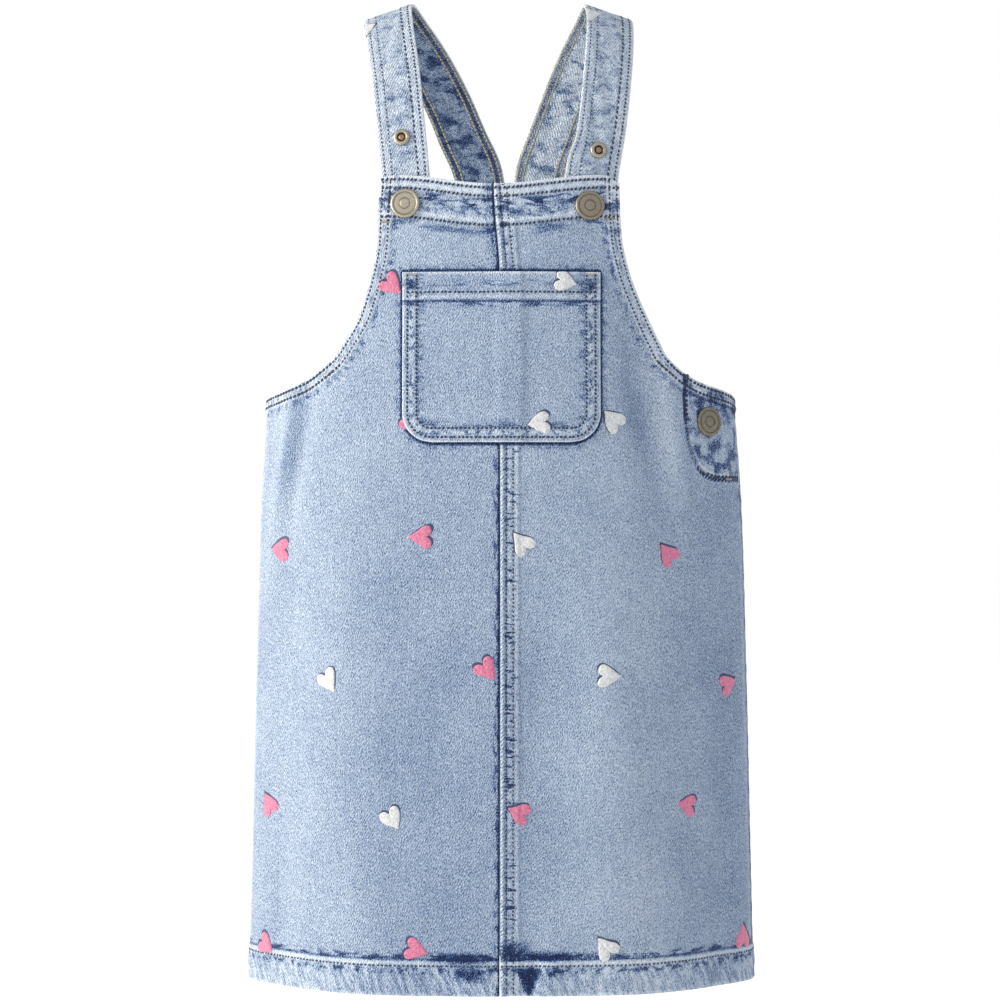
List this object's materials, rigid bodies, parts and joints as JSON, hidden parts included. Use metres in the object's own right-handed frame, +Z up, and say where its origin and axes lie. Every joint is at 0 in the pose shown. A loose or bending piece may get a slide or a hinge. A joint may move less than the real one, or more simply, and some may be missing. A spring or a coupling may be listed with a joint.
{
  "type": "pinafore dress",
  "caption": "Child's sleeveless denim pinafore dress, filled out as worn, with a bib, shoulder straps snapped behind it, a patch pocket and a side placket.",
  "frame": {"origin": "midway between the two straps where they cross the wearer's shoulders, level with their undersides there", "axes": "+Z up, -Y to the front of the dress, +X to the wearer's left"},
  "size_m": [0.3031, 0.1463, 0.5827],
  "materials": {
    "denim": "light stone-washed stretch denim, matt twill",
    "strap_denim": "mottled acid-washed stretch denim, matt twill",
    "pewter": "worn pewter plating"
  },
  "bodies": {
    "root": {"front_left": "denim", "front_right": "denim", "back": "denim", "front_pocket": "denim", "strap_left": "strap_denim", "strap_right": "strap_denim", "bib_snap_left": "pewter", "bib_snap_right": "pewter", "side_button": "pewter", "strap_stud_left": "pewter", "strap_stud_right": "pewter"}
  },
  "joints": []
}
